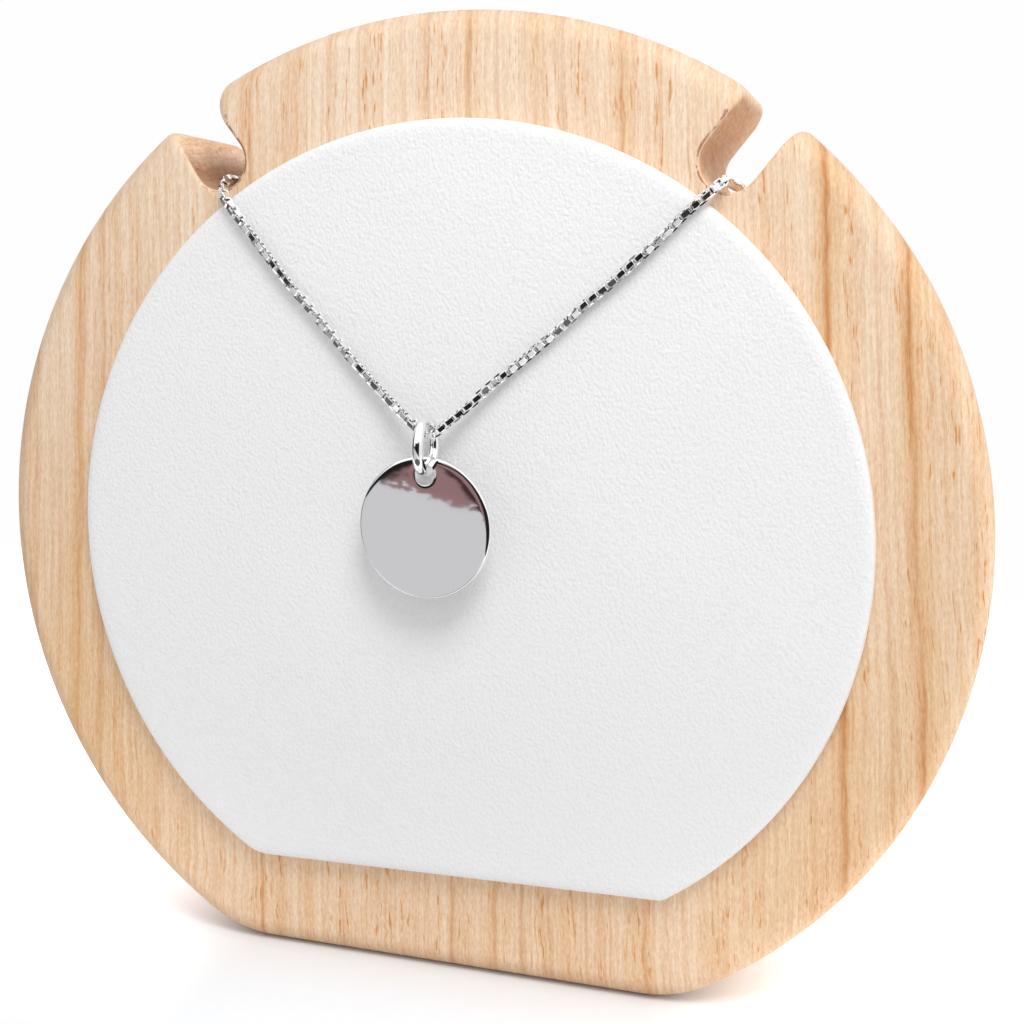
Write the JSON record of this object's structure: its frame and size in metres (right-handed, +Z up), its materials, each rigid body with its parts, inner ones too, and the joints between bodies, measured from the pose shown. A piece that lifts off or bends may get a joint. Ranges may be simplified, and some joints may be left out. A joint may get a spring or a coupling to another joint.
{
  "type": "medallion necklace on a display stand",
  "caption": "Plain polished disc pendant hanging by a jump ring from a fine box chain, laid over the slots of a round wooden display board with a white leatherette pad.",
  "frame": {"origin": "middle of the base's flat edge, on the surface it stands on, half way through the board's thickness", "axes": "X to the viewer's right along the board, Y to the back through its thickness, Z up"},
  "size_m": [0.126, 0.0501, 0.1188],
  "materials": {
    "oiled_ash": "sanded and oiled, upright grain",
    "white_leatherette": "fine pebbled grain, matte",
    "silver_chain": "bright polished links",
    "silver_wire": "bright polished wire",
    "polished_disc": "mirror polish"
  },
  "bodies": {
    "stand": {"stand_board": "oiled_ash", "pad": "white_leatherette", "chain": "silver_chain", "clasp": "silver_wire"},
    "bail": {"jump_ring": "silver_wire"},
    "medallion": {"medallion": "polished_disc"}
  },
  "joints": [
    {"name": "bail_swing", "type": "hinge", "parent": "stand", "child": "bail", "pos_m": [-0.0017, -0.01555, 0.06925], "axis": [-1, 0, 0], "range_deg": [0, 90]},
    {"name": "medallion_swing", "type": "hinge", "parent": "bail", "child": "medallion", "pos_m": [-0.0017, -0.01623, 0.0679], "axis": [-1, 0, 0], "range_deg": [-8, 90]}
  ]
}
